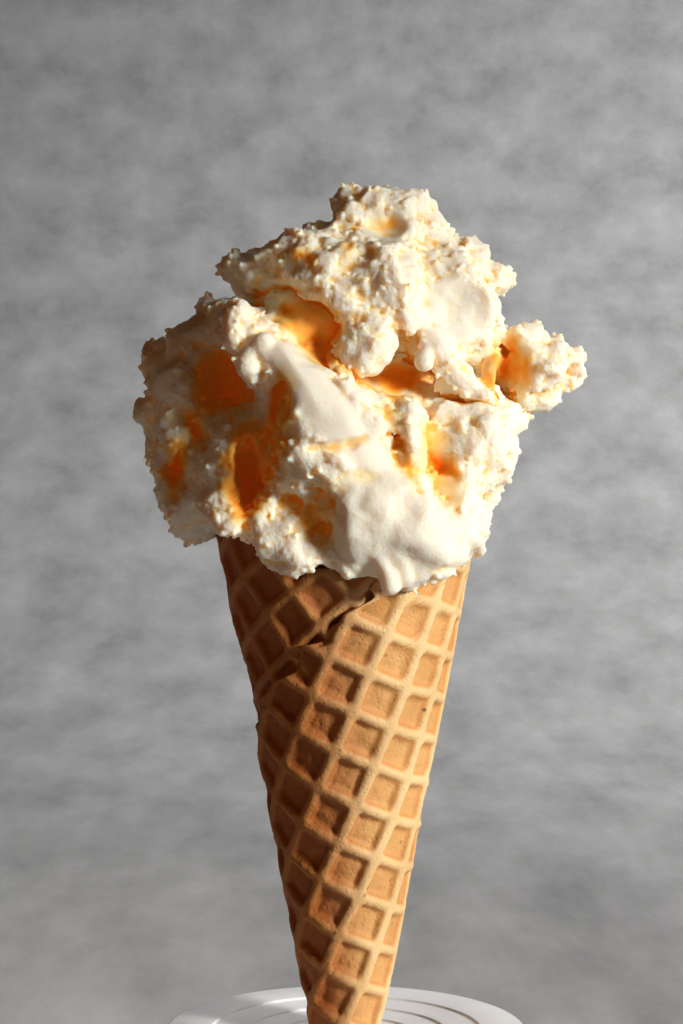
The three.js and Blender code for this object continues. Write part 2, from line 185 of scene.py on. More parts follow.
only()
bpy.ops.mesh.primitive_plane_add(size=1, location=(0, WALL_AT - SWEEP_DEPTH / 2, 0))
sweep = bpy.context.object
sweep.name = "sweep"
sweep.dimensions = (SWEEP_WIDTH, SWEEP_DEPTH, 0)
bpy.ops.object.transform_apply(location=True, scale=True)
bpy.ops.object.mode_set(mode="EDIT")
bpy.ops.mesh.select_all(action="DESELECT")
bpy.ops.object.mode_set(mode="OBJECT")
for edge in sweep.data.edges:
    edge.select = all(sweep.data.vertices[i].co.y > WALL_AT - 0.01 for i in edge.vertices)
bpy.ops.object.mode_set(mode="EDIT")
bpy.ops.mesh.select_mode(type="EDGE")
bpy.ops.mesh.extrude_region_move(TRANSFORM_OT_translate={"value": (0, 0, SWEEP_HEIGHT)})
bpy.ops.object.mode_set(mode="OBJECT")
bend = sweep.modifiers.new("bend", "BEVEL")
bend.width = SWEEP_BEND
bend.segments = 16
only(sweep)
bpy.ops.object.modifier_apply(modifier="bend")
bpy.ops.object.shade_smooth()
sweep.data.materials.append(wall_plaster())


def hang(light, place, aim):
    """A light in its place, facing a point."""
    lamp = bpy.data.objects.new(light.name, light)
    lamp.location = place
    lamp.rotation_euler = (aim - Vector(place)).to_track_quat("-Z", "Y").to_euler()
    bpy.context.scene.collection.objects.link(lamp)
    return lamp


def beam(name, angle, softness, power, colour):
    """A lamp that lights little beside what it faces."""
    light = bpy.data.lights.new(name, "SPOT")
    light.spot_size = math.radians(angle)
    light.spot_blend = 0.3
    light.shadow_soft_size = softness
    light.energy = power
    light.color = colour
    return light


def panel(name, width, power):
    """A square panel of soft white light."""
    light = bpy.data.lights.new(name, "AREA")
    light.size = width
    light.energy = power
    return light


def shine_only_on(lamp, name):
    """A collection of the things that a lamp lights, as flags on stands would see to."""
    things = bpy.data.collections.new(name)
    lamp.light_linking.receiver_collection = things
    return things


hang(beam("key", angle=19, softness=0.13, power=73, colour=(1.0, 0.97, 0.92)), KEY_AT, SUBJECT)
hang(beam("fill", angle=30, softness=0.2, power=3.6, colour=(1.0, 0.34, 0.03)), FILL_AT, SUBJECT)
wall_panel = panel("wall_panel", width=0.9, power=18.0)
wall_panel.shape = "RECTANGLE"
wall_panel.size_y = 0.5
wall_panel.spread = math.radians(105)
wall_panel.color = (1.0, 0.99, 0.98)
wall_lamp = hang(wall_panel, WALL_PANEL_AT, WALL_PANEL_AIM)
lit_by_wall_panel = shine_only_on(wall_lamp, "lit_by_wall_panel")
lit_by_wall_panel.objects.link(sweep)
back_lamp = hang(panel("back_panel", width=0.5, power=1.0), BACK_PANEL_AT, SUBJECT)
lit_by_back_panel = shine_only_on(back_lamp, "lit_by_back_panel")
floor_lamp = hang(panel("floor_panel", width=0.8, power=6.0), FLOOR_PANEL_AT, FLOOR_PANEL_AIM)
shine_only_on(floor_lamp, "lit_by_floor_panel").objects.link(sweep)

# The room is nearly dark, but where it is seen past the table it is plain pale grey.
world = bpy.data.worlds.new("room")
bpy.context.scene.world = world
world.use_nodes = True
dim = world.node_tree.nodes["Background"]
dim.inputs["Color"].default_value = (0.9, 0.9, 0.9, 1)
dim.inputs["Strength"].default_value = ROOM_GLOW
pale = add_node(world.node_tree, "ShaderNodeBackground", {"Color": (0.30, 0.30, 0.305, 1)})
seen = add_node(world.node_tree, "ShaderNodeLightPath").outputs["Is Camera Ray"]
room = add_node(world.node_tree, "ShaderNodeMixShader", {
    0: seen, 1: dim.outputs["Background"], 2: pale.outputs["Background"],
})
surface = world.node_tree.nodes["World Output"].inputs["Surface"]
world.node_tree.links.new(room.outputs["Shader"], surface)
bpy.context.scene.view_settings.view_transform = "Standard"
lens = bpy.data.cameras.new("camera")
lens.lens = LENS
lens.sensor_width = 36
camera = bpy.data.objects.new("camera", lens)
camera.location = CAMERA_AT
camera.rotation_euler = (math.radians(CAMERA_PITCH), 0, 0)
bpy.context.scene.collection.objects.link(camera)
bpy.context.scene.camera = camera

# ---- Holder ----
# A drum turned from one block of wood and sprayed matt white. Its top is dished in four fine
# steps round a conical socket, and the cone stands in that socket under its own weight.
holder_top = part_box("holder")[1].z
holder_radius = (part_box("holder")[1].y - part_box("holder")[0].y) / 2
HOLDER_SIDES = 160
STEP_RADII = (32.4 * MM, 24.2 * MM, 16.85 * MM, 13.2 * MM)
STEP_DROP = 0.6 * MM
STEP_RUN = 0.15 * MM
EASED = 0.35 * MM
SOCKET_FLOOR = 5.5 * MM
GAP = 0.3 * MM
HALF_ANGLE = math.radians(10.526)
APEX_DEPTH = 45.54 * MM
APEX = holder_top - APEX_DEPTH


def holder_paint():
    """Matt white paint over wood: faint streaks from turning, and a soft orange-peel."""
    material, tree, shader = new_material("holder_paint", (0.76, 0.77, 0.79), 0.55)
    place = add_node(tree, "ShaderNodeTexCoord").outputs["Object"]
    cloud = add_node(tree, "ShaderNodeGroup", {
        "Vector": place, "Scale": 60.0, "Detail": 4.0, "Roughness": 0.5, "Low": 0.3, "High": 0.7,
        "Dark": (0.71, 0.72, 0.74, 1), "Light": (0.80, 0.81, 0.83, 1),
    }, node_tree=clouded)
    tree.links.new(cloud.outputs["Color"], shader.inputs["Base Color"])
    peel = add_node(tree, "ShaderNodeGroup", {
        "Vector": place, "Scale": 1400.0, "Detail": 2.0, "Share": 1.0,
        "Strength": 0.12, "Distance": 0.1 * MM,
    }, node_tree=grained)
    tree.links.new(peel.outputs["Normal"], shader.inputs["Normal"])
    return material


def step_in(inset, drop):
    """The chosen face is drawn in by an amount, and let down."""
    bpy.ops.mesh.inset(thickness=inset, depth=0, use_even_offset=True)
    if drop:
        bpy.ops.transform.translate(value=(0, 0, -drop))


only()
bpy.ops.mesh.primitive_circle_add(vertices=HOLDER_SIDES, radius=holder_radius, fill_type="NGON")
holder = bpy.context.object
holder.name = "turned_holder"
bpy.ops.object.mode_set(mode="EDIT")
bpy.ops.mesh.extrude_region_move(TRANSFORM_OT_translate={"value": (0, 0, holder_top)})
radius = holder_radius
for step_radius in STEP_RADII:
    step_in(radius - step_radius, 0)
    step_in(STEP_RUN, STEP_DROP)
    radius = step_radius - STEP_RUN
dish_floor = holder_top - len(STEP_RADII) * STEP_DROP
socket_mouth = (dish_floor - APEX) * math.tan(HALF_ANGLE) + GAP
socket_end = (SOCKET_FLOOR - APEX) * math.tan(HALF_ANGLE) + GAP
step_in(radius - socket_mouth, 0)
socket_drop = SOCKET_FLOOR - dish_floor
socket_taper = socket_end / socket_mouth
bpy.ops.mesh.extrude_region_move(TRANSFORM_OT_translate={"value": (0, 0, socket_drop)})
bpy.ops.transform.resize(value=(socket_taper, socket_taper, 1))
bpy.ops.mesh.select_all(action="SELECT")
bpy.ops.mesh.normals_make_consistent(inside=False)
bpy.ops.object.mode_set(mode="OBJECT")
eased = holder.modifiers.new("eased", "BEVEL")
eased.limit_method = "ANGLE"
eased.angle_limit = math.radians(35)
eased.width = EASED
eased.segments = 3
only(holder)
bpy.ops.object.modifier_apply(modifier="eased")
bpy.ops.object.shade_smooth_by_angle(angle=math.radians(30))
holder.data.materials.append(holder_paint())
lit_by_wall_panel.objects.link(holder)
lit_by_back_panel.objects.link(holder)
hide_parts("holder")
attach(holder, "root")

# ---- Waffle cone ----
# A round wafer baked between two irons and rolled up hot: its square pockets wind round the
# cone, its broken free edge lies on the turn before it, and the sheet draws in to slip under.
TIP_SLANT = 13.6
RIM_SLANT = 170.0
RIM_DIP = 11.0
RIM_DIP_AT = 12.0
RIM_DIP_WIDTH = 42.0
SHEET = 1.7
SHEET_GAP = 0.3
WALL = 3.4
WALL_LOW = 4.6
LAP = 24.0
WAFER_R = 92.0
WAFER_CENTRE = (75.3, 53.0)
PITCH = (10.12, 10.25)
LEAN = math.radians(25)
GRID_AT = (131.2, -7.9)
POCKET_HALF = 4.2
POCKET_CORNER = 1.3
POCKET_WALL = 1.5
POCKET_DEPTH = 1.5
FIRST_POCKET = 40.0
WAFER_COLUMNS = 330
WAFER_ROWS = 236
INNER_SKIN_KEPT = 0.58
# Where the free edge broke: the slant from the apex, half the width of the break, and how far the
# edge stands out there, in degrees round the cone.
EDGE_BREAKS = (
    (162.0, 6.0, -16.0),
    (153.5, 1.8, 4.5),
    (148.0, 2.0, 3.0),
    (144.3, 1.6, 7.5),
    (142.2, 0.9, -5.0),
    (137.0, 2.6, 8.0),
    (131.5, 1.6, 4.0),
    (126.5, 1.5, -11.0),
)
BREAK_REACH = 22.0


def smooth(x, low, high):
    """0 below low, 1 above high, and a soft step between."""
    t = np.clip((x - low) / (high - low), 0, 1)
    return t * t * (3 - 2 * t)


def wander(x, pitch, seed):
    """A wavy line along x: random heights from -1 to 1, one for each pitch, run together."""
    heights = np.random.default_rng(seed).uniform(-1, 1, 400)
    t = x / pitch + 100
    i = np.floor(t).astype(int)
    f = t - i
    f = f * f * (3 - 2 * f)
    return heights[i % 400] * (1 - f) + heights[(i + 1) % 400] * f


def scatter(seed):
    """A cube of random numbers that the noises below look their values up in."""
    return np.random.default_rng(seed).random((64, 64, 64, 3), dtype=np.float32)


def clouds(points, pitch, seed):
    """Smooth noise from -1 to 1 at a set of points."""
    table = scatter(seed)[..., 0]
    place = points / np.float32(pitch)
    corner = np.floor(place)
    f = place - corner
    f = f * f * (3 - 2 * f)
    corner = corner.astype(np.int32)
    value = 0
    for step in np.ndindex(2, 2, 2):
        i, j, k = ((corner[:, n] + step[n]) & 63 for n in range(3))
        weight = 1
        for n in range(3):
            weight = weight * (f[:, n] if step[n] else 1 - f[:, n])
        value = value + weight * table[i, j, k]
    return 2 * value - 1


def edge_turn(slant):
    """The turn, in degrees, of the wafer's round edge at a slant."""
    u, v = WAFER_CENTRE
    reach = math.hypot(u, v)
    cosine = (slant**2 + reach**2 - WAFER_R**2) / (2 * slant * reach)
    flat = math.atan2(v, u) - np.arccos(np.clip(cosine, -1, 1))
    return np.degrees(flat / math.sin(HALF_ANGLE))


def broken_turn(slant):
    """How far the broken free edge stands out from that round edge, in degrees round the cone."""
    broken = sum(turn * np.exp(-(((slant - at) / width) ** 2)) for at, width, turn in EDGE_BREAKS)
    crumbled = 1.5 * wander(slant, 2.3, 1) + 1.2 * wander(slant, 1.1, 2)
    return broken + crumbled * smooth(slant, 60, 100)


def rim_slant(turn):
    """The rim is oblique, and dips where the roll begins."""
    off = (turn - RIM_DIP_AT + 180) % 360 - 180
    return RIM_SLANT - RIM_DIP * np.exp(-((off / RIM_DIP_WIDTH) ** 2)) + 0.5 * wander(turn, 9, 3)


def pocket_depth(slant, turn):
    """How deep the pockets are at a place of the sheet, from 0 on a rib to 1 on a floor."""
    psi = np.radians(turn) * math.sin(HALF_ANGLE)
    across = slant * np.cos(psi)
    along = slant * np.sin(psi)
    u = across - GRID_AT[0] + 0.4 * wander(along, 8, 4)
    v = along - GRID_AT[1] + 0.4 * wander(across, 9, 5)
    a = (u * math.cos(LEAN) + v * math.sin(LEAN)) % PITCH[0] - PITCH[0] / 2
    b = (v * math.cos(LEAN) - u * math.sin(LEAN)) % PITCH[1] - PITCH[1] / 2
    straight = POCKET_HALF - POCKET_CORNER
    out = np.hypot(np.maximum(np.abs(a) - straight, 0), np.maximum(np.abs(b) - straight, 0))
    inner = np.minimum(np.maximum(np.abs(a), np.abs(b)) - straight, 0)
    outside = out + inner - POCKET_CORNER
    crown = 0.2 * smooth(outside, 0.0, 0.9)
    started = smooth(slant, FIRST_POCKET, FIRST_POCKET + 4)
    return smooth(-outside, -0.15, POCKET_WALL) * started - crown


def on_cone(slant, turn, inset):
    """Places on the roll, in millimetres: a slant from the apex, a turn, and a depth under the skin."""
    a = np.radians(turn)
    r = slant * math.sin(HALF_ANGLE) - inset * math.cos(HALF_ANGLE)
    z = APEX / MM + slant * math.cos(HALF_ANGLE) + inset * math.sin(HALF_ANGLE)
    return np.stack([r * np.sin(a), -r * np.cos(a), z], axis=-1)


def wafer_skin(inner):
    """The outer or inner skin of the rolled sheet: its places, and how deep its pockets are."""
    down = np.linspace(0, 1, WAFER_ROWS)[None, :]
    rolled = (np.linspace(0, 1, WAFER_COLUMNS) * (360 + LAP))[:, None] + 0 * down
    slant = TIP_SLANT + (RIM_SLANT - TIP_SLANT) * down + 0 * rolled
    for _ in range(3):
        turn = edge_turn(slant) + rolled
        slant = TIP_SLANT + (rim_slant(turn) - TIP_SLANT) * down
    near_edge = np.clip(1 - rolled / BREAK_REACH, 0, 1)
    turn = edge_turn(slant) + rolled + broken_turn(slant) * near_edge
    pockets = pocket_depth(slant, turn)
    if inner:
        wall = WALL + (WALL_LOW - WALL) * smooth(-slant, -150, -60)
        thick = (SHEET - SHEET_GAP) + (wall - SHEET + SHEET_GAP) * smooth(rolled, LAP + 2, LAP + 5)
        thick = np.minimum(thick, slant * math.tan(HALF_ANGLE) - 0.25)
        return on_cone(slant, turn, thick), 0 * pockets
    drawn = SHEET * smooth(rolled, 270, 345)
    edge = 0.35 * (1 - smooth(rolled, 0, 1.6)) ** 2
    rim_edge = 0.5 * smooth(down, 0.994, 1.0)
    inset = drawn + POCKET_DEPTH * pockets + edge + rim_edge
    spots = on_cone(slant, turn, 0).reshape(-1, 3)
    uneven = 0.22 * clouds(spots, 3.1, 11) + 0.16 * clouds(spots, 1.3, 12)
    uneven = np.maximum(uneven.reshape(inset.shape), -0.2 - inset)
    return on_cone(slant, turn, inset + uneven), pockets


def places_of(mesh):
    """Where a mesh's vertices are."""
    places = np.empty(len(mesh.vertices) * 3, np.float32)
    mesh.vertices.foreach_get("co", places)
    return places.reshape(-1, 3)


def note_down(piece, name, values):
    """A value at every vertex of a piece, which its material reads."""
    noted = piece.data.attributes.new(name, "FLOAT", "POINT")
    noted.data.foreach_set("value", values.astype(np.float32))


only()
bpy.ops.mesh.primitive_grid_add(
    x_subdivisions=WAFER_COLUMNS - 1, y_subdivisions=WAFER_ROWS - 1, size=2
)
wafer = bpy.context.object
wafer.name = "rolled_wafer"
thickness = wafer.modifiers.new("thickness", "SOLIDIFY")
thickness.thickness = 0.1
thickness.offset = -1
bpy.ops.object.modifier_apply(modifier="thickness")
flat = places_of(wafer.data)
column = np.rint((flat[:, 0] + 1) / 2 * (WAFER_COLUMNS - 1)).astype(int)
row = np.rint((flat[:, 1] + 1) / 2 * (WAFER_ROWS - 1)).astype(int)
is_inner = flat[:, 2] < -0.05
outer_places, outer_depth = wafer_skin(False)
inner_places, inner_depth = wafer_skin(True)
places = np.where(is_inner[:, None], inner_places[column, row], outer_places[column, row]) * MM
depth = np.where(is_inner, 0.5 * (column > 2), outer_depth[column, row])
wafer.data.vertices.foreach_set("co", places.ravel())
note_down(wafer, "pocket", depth)
# Painted shade: the side of the cone that turns to the left, away from the key lamp, is marked to be
# made a darker brown.
from_axis = np.maximum(np.hypot(places[:, 0], places[:, 1]), MM)
toward_left = (-0.9 * places[:, 0] - 0.43 * places[:, 1]) / from_axis
note_down(wafer, "painted_left_shade", smooth(toward_left, -0.1, 0.9))
plain = wafer.vertex_groups.new(name="plain")
plain.add(np.nonzero(is_inner)[0].tolist(), 1.0, "REPLACE")
only(wafer)
thinned = wafer.modifiers.new("thinned", "DECIMATE")
thinned.ratio = INNER_SKIN_KEPT
thinned.vertex_group = "plain"
bpy.ops.object.modifier_apply(modifier="thinned")
wafer.vertex_groups.clear()
bpy.ops.object.mode_set(mode="EDIT")
bpy.ops.mesh.select_all(action="SELECT")
bpy.ops.mesh.normals_make_consistent(inside=False)
bpy.ops.object.mode_set(mode="OBJECT")
bpy.ops.object.shade_smooth()


# Colours of the wafer, the first three by how deep a place is in a pocket; the fourth is painted shade
# multiplied over its left side.
RIB = (0.0, (0.90, 0.62, 0.30, 1))
POCKET_SIDE = (0.45, (0.70, 0.33, 0.09, 1))
POCKET_FLOOR = (1.0, (0.74, 0.40, 0.14, 1))
LEFT_SIDE_SHADE_BROWN = (0.56, 0.31, 0.12, 1)
TOAST = (0.80, 0.70, 0.58, 1)
FLECK = (0.20, 0.085, 0.02, 1)


def toned(tree, value, first, *others):
    """The colour that a value stands for, from stops of a position and a colour."""
    ramp = add_node(tree, "ShaderNodeValToRGB", {"Fac": value})
    stops = ramp.color_ramp.elements
    stops[0].position, stops[0].color = first
    stops[1].position, stops[1].color = others[-1]
    for position, colour in others[:-1]:
        stops.new(position).color = colour
    return ramp.outputs["Color"]


def mixed(tree, kind, share, a, b):
    """Two colours mixed, or the first multiplied by the second, by a share from 0 to 1."""
    mix = add_node(tree, "ShaderNodeMix", data_type="RGBA", blend_type=kind)
    for socket, source in (("Factor", share), ("A", a), ("B", b)):
        if isinstance(source, bpy.types.NodeSocket):
            tree.links.new(source, mix.inputs[socket])
        else:
            mix.inputs[socket].default_value = source
    return mix.outputs["Result"]


def baked_wafer():
    """Golden wafer: pale ribs, deeper brown floors and walls, painted shade on its left, toasted
    clouds, dark flecks, fine pores.
    """
    material, tree, shader = new_material("baked_wafer", (0.84, 0.50, 0.20), 0.72)
    place = add_node(tree, "ShaderNodeTexCoord").outputs["Object"]
    pocket = add_node(tree, "ShaderNodeAttribute", attribute_name="pocket").outputs["Fac"]
    painted_left_shade = add_node(tree, "ShaderNodeAttribute", attribute_name="painted_left_shade").outputs["Fac"]
    tone = toned(tree, pocket, RIB, POCKET_SIDE, POCKET_FLOOR)
    # Painted shade: colours on the cone's left side are multiplied by a darker brown.
    left_shaded = mixed(tree, "MULTIPLY", painted_left_shade, tone, LEFT_SIDE_SHADE_BROWN)
    toast = add_node(tree, "ShaderNodeGroup", {
        "Vector": place, "Scale": 55.0, "Detail": 4.0, "Roughness": 0.5, "Low": 0.35, "High": 0.62,
        "Dark": TOAST, "Light": (1, 1, 1, 1),
    }, node_tree=clouded)
    toasted = mixed(tree, "MULTIPLY", 0.6, left_shaded, toast.outputs["Color"])
    spots = add_node(tree, "ShaderNodeTexVoronoi", {"Vector": place, "Scale": 230.0})
    spot = add_node(tree, "ShaderNodeMapRange", {
        "Value": spots.outputs["Distance"],
        "From Min": 0.05, "From Max": 0.17, "To Min": 1.0, "To Max": 0.0,
    })
    chosen = add_node(tree, "ShaderNodeMapRange", {
        "Value": spots.outputs["Color"], "From Min": 0.62, "From Max": 0.70,
    })
    fleck = add_node(tree, "ShaderNodeMath", {
        0: spot.outputs["Result"], 1: chosen.outputs["Result"],
    }, operation="MULTIPLY")
    flecked = mixed(tree, "MIX", fleck.outputs["Value"], toasted, FLECK)
    tree.links.new(flecked, shader.inputs["Base Color"])
    pores = add_node(tree, "ShaderNodeTexVoronoi", {"Vector": place, "Scale": 900.0})
    pits = add_node(tree, "ShaderNodeMapRange", {
        "Value": pores.outputs["Distance"], "From Min": 0.0, "From Max": 0.45,
    })
    bump = add_node(tree, "ShaderNodeGroup", {
        "Vector": place, "Scale": 420.0, "Detail": 3.0, "Share": 0.8,
        "Height": pits.outputs["Result"], "Strength": 0.45, "Distance": 0.25 * MM,
    }, node_tree=grained)
    tree.links.new(bump.outputs["Normal"], shader.inputs["Normal"])
    shader.inputs["Subsurface Weight"].default_value = 0.15
    shader.inputs["Subsurface Radius"].default_value = (1.0, 0.45, 0.15)
    shader.inputs["Subsurface Scale"].default_value = 1.5 * MM
    return material


wafer.data.materials.append(baked_wafer())
lit_by_back_panel.objects.link(wafer)
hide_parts("cone")
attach(wafer, "root")

# ---- Ice cream ----
# Two portions of hard frozen vanilla ice cream, dug out with a scoop and pressed one on the other:
# crumbly where they tore, smooth where they were scraped, and running down where they melt. Forms
# are placed from the centre of the cone's mouth, and laid on the two solid scoops in a fine grid.
# Lengths are in millimetres, but the band on either side of the skin is counted in cells.
GRAIN = 0.42
BAND = 12
MARGIN = 4.5
MOUTH = np.array((0, 0, 160.0))
# Relief of a torn skin: how far it reaches on either side and how it sways, its soft lumps as
# height and pitch, and its round grains as height, pitch and sink.
RELIEF_BAND = 4.2
SWAY = 0.8
SWAY_PITCH = 3.7
SOFT_LUMPS = ((1.5, 6.5), (1.0, 2.9))
ROUND_GRAINS = ((0.6, 1.8, 0.55), (0.55, 1.0, 0.5))
CRUMB_SIZE = (0.35, 0.75)
CRUMB_SPREAD = (0.7, 1.3)
CRUMB_SHIFT = 0.25
CLEAR = 0.12
# Half of the vertices behind the cone's axis are merged away first, and then the whole is thinned.
BACK_FROM = 2.0
BACK_KEPT = 0.5
MOST_TRIANGLES = 192000
SCOOPS = ("lower_scoop", "upper_scoop")
scoop_low = np.min([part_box(name)[0] for name in SCOOPS], axis=0) / MM - MOUTH
scoop_high = np.max([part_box(name)[1] for name in SCOOPS], axis=0) / MM - MOUTH
first_cell = np.floor((scoop_low - MARGIN) / GRAIN).astype(int)
cells = np.ceil((scoop_high + MARGIN) / GRAIN).astype(int) - first_cell
AXES = [(first_cell[k] + np.arange(cells[k], dtype=np.float32)) * GRAIN for k in range(3)]


def skin_distance(name):
    """Distance to a solid scoop's skin at every cell of the grid, negative inside."""
    shell = bmesh.new()
    shell.from_mesh(frame["nodes"][name].data)
    bmesh.ops.remove_doubles(shell, verts=shell.verts, dist=1e-6)
    bmesh.ops.triangulate(shell, faces=shell.faces)
    points = np.array([vert.co for vert in shell.verts]) / MM - MOUTH
    triangles = np.array([[vert.index for vert in face.verts] for face in shell.faces])
    shell.free()
    raster = vdb.createLinearTransform(voxelSize=GRAIN)
    skin = vdb.FloatGrid.createLevelSetFromPolygons(
        points, triangles=triangles, transform=raster, halfWidth=BAND
    )
    field = np.empty(cells, np.float32)
    skin.copyToArray(field, ijk=tuple(int(n) for n in first_cell))
    return field


def softened(field, reach):
    """Three running means along each axis: sharp facets run together over a reach in cells."""
    span = 2 * reach + 1
    for axis in (0, 1, 2) * 3:
        rows = np.moveaxis(field, axis, 0)
        rows = np.concatenate([rows[:1]] * (reach + 1) + [rows] + [rows[-1:]] * reach)
        total = np.cumsum(rows, axis=0, dtype=np.float32)
        field = np.moveaxis((total[span:] - total[:-span]) / span, 0, axis)
    return np.ascontiguousarray(field)


def beside(at, reach):
    """The part of the grid within a reach of a place, and its coordinates from that place."""
    parts = []
    offsets = []
    for k in range(3):
        a = int(np.clip((at[k] - reach) / GRAIN - first_cell[k], 0, cells[k] - 2))
        b = int(np.clip((at[k] + reach) / GRAIN - first_cell[k] + 1, a + 1, cells[k]))
        parts.append(slice(a, b))
        offsets.append((AXES[k][a:b] - at[k]).reshape([-1 if i == k else 1 for i in range(3)]))
    return tuple(parts), offsets


def lump(at, size, turn=0, spare=3.0):
    """Distance to an ellipsoid's skin in the part of the grid beside it; it turns about the view."""
    part, (x, y, z) = beside(at, max(size) + spare)
    c = math.cos(math.radians(turn))
    s = math.sin(math.radians(turn))
    across, up = c * x - s * z, s * x + c * z
    k0 = np.sqrt((across / size[0]) ** 2 + (y / size[1]) ** 2 + (up / size[2]) ** 2)
    k1 = np.sqrt((across / size[0] ** 2) ** 2 + (y / size[1] ** 2) ** 2 + (up / size[2] ** 2) ** 2)
    return part, k0 * (k0 - 1) / np.maximum(k1, 1e-4)


def ragged(form, depth, pitch, seed):
    """A form with its skin broken up by noise."""
    part, distance = form
    spots = np.meshgrid(*(AXES[k][part[k]] for k in range(3)), indexing="ij")
    spots = np.stack([line.ravel() for line in spots], axis=1)
    return part, distance + depth * clouds(spots, pitch, seed).reshape(distance.shape)


def add(field, part, distance, blend=1.0):
    """A form is laid on, with a fillet."""
    here = field[part]
    h = np.maximum(blend - np.abs(here - distance), 0) / blend
    field[part] = np.minimum(here, distance) - h * h * blend / 4


def cut(field, part, distance, blend=1.0):
    """A form is taken away, with its edge rounded."""
    here = field[part]
    h = np.maximum(blend - np.abs(here + distance), 0) / blend
    field[part] = np.maximum(here, -distance) + h * h * blend / 4


def front(field, x, z):
    """How far forward a skin lies at a place, seen from the front."""
    column = field[int(x / GRAIN - first_cell[0]), :, int(z / GRAIN - first_cell[2])]
    return AXES[1][np.argmax(column < 0)]


def bar(a, b, thick_a, thick_b):
    """Distance to a tapered round bar between two places, in the part of the grid beside it."""
    way = b - a
    part, (x, y, z) = beside(a + way / 2, np.linalg.norm(way) / 2 + max(thick_a, thick_b) + 2.5)
    x, y, z = x + way[0] / 2, y + way[1] / 2, z + way[2] / 2
    t = np.clip((x * way[0] + y * way[1] + z * way[2]) / (way @ way), 0, 1)
    reach = (x - t * way[0]) ** 2 + (y - t * way[1]) ** 2 + (z - t * way[2]) ** 2
    return part, np.sqrt(reach) - (thick_a + (thick_b - thick_a) * t)


def stroke(field, tool, line, thick, sink, blend):
    """A bead added or a scratch cut along a line of (x, z) places on the front of the skin."""
    places = [np.array((x, front(field, x, z) + sink, z)) for x, z in line]
    for a, b, thick_a, thick_b in zip(places[:-1], places[1:], thick[:-1], thick[1:]):
        tool(field, *bar(a, b, thick_a, thick_b), blend)


def shape(field, forms):
    """Ellipsoids added or cut in turn: centre, half sizes, turn about the view, and fillet."""
    for tool, at, size, turn, blend in forms:
        tool(field, *lump(at, size, turn), blend)


def draw(field, strokes):
    """Beads and scratches made in turn: line of (x, z) places, thicknesses, sink and fillet."""
    for tool, line, thick, sink, blend in strokes:
        stroke(field, tool, line, thick, sink, blend)


def grains(points, pitch, seed):
    """Round grains packed together: 1 on the crown of a grain, 0 in the creases between."""
    table = scatter(seed)
    place = points / np.float32(pitch)
    corner = np.floor(place - 0.5).astype(np.int32)
    nearest = np.full(len(points), 4, np.float32)
    for step in np.ndindex(2, 2, 2):
        spots = table[tuple((corner[:, n] + step[n]) & 63 for n in range(3))]
        apart = 0
        for n in range(3):
            apart = apart + (corner[:, n] + (step[n] + 0.15) + 0.7 * spots[:, n] - place[:, n]) ** 2
        nearest = np.minimum(nearest, apart.astype(np.float32))
    return np.sqrt(np.maximum(1 - nearest / 0.72, 0))


def crumble(field, rough, seed):
    """The torn skin breaks up into lumps and grains, within a band on either side of it."""
    band = np.nonzero((np.abs(field) < RELIEF_BAND) & (rough > 0.02))
    points = np.stack([AXES[k][band[k]] for k in range(3)], axis=1)
    sway = np.stack([clouds(points, SWAY_PITCH, seed + k) for k in range(3)], axis=1)
    points = points + np.float32(SWAY) * sway
    relief = 0
    for k, (height, pitch) in enumerate(SOFT_LUMPS):
        relief = relief + height * clouds(points, pitch, seed + 3 + k)
    for k, (height, pitch, sink) in enumerate(ROUND_GRAINS):
        relief = relief + height * (grains(points, pitch, seed + 5 + k) - sink)
    field[band] -= rough[band] * relief


def crumbs(field, rough, count, seed):
    """Loose crumbs frozen on to the torn skin."""
    rng = np.random.default_rng(seed)
    torn = np.nonzero((np.abs(field) < 0.3) & (rough > 0.7))
    for i in rng.choice(len(torn[0]), count, replace=False):
        at = np.array([AXES[k][torn[k][i]] for k in range(3)]) + rng.normal(0, CRUMB_SHIFT, 3)
        size = rng.uniform(*CRUMB_SIZE) * rng.uniform(*CRUMB_SPREAD, 3)
        add(field, *lump(at, size, turn=rng.uniform(-90, 90), spare=0.9), blend=0.4)


def roughness_of(polished):
    """How torn a portion is at every cell: 1 where it broke and 0 where it is smooth."""
    rough = np.ones(cells, np.float32)
    for at, size, turn, strength in polished:
        part, distance = lump(at, size, turn, spare=2.5)
        rough[part] = np.minimum(rough[part], 1 - strength * (1 - smooth(distance, -0.9, 1.1)))
    return rough


def cone_distance():
    """Distance to the rolled wafer's wall at every cell, negative inside the wall."""
    x, y, z = np.meshgrid(*AXES, indexing="ij", sparse=True)
    height = z + MOUTH[2] - APEX / MM
    radius = np.hypot(x, y)
    outside = radius * math.cos(HALF_ANGLE) - height * math.sin(HALF_ANGLE)
    slant = radius * math.sin(HALF_ANGLE) + height * math.cos(HALF_ANGLE)
    over = slant - rim_slant(np.degrees(np.arctan2(x, -y)))
    return np.maximum(np.maximum(outside, -outside - WALL), over)


# Lower portion: a torn left side with caves, a scraped ridge with a ragged crest, a melted lobe
# with drips, and a broken plate beside a groove. The gap above it has a smooth scraped wall.
GAP_WALL = (
    (add, (3, -4, 42), (19, 12, 10), 25, 2.0),
    (add, (-6, -8, 46), (15, 14, 10), 30, 2.0),
    (cut, (-5, -30, 45.5), (14, 10.5, 5.5), 38, 2.0),
    (cut, (13, -29, 36.5), (8.5, 9, 3.4), 0, 1.5),
)
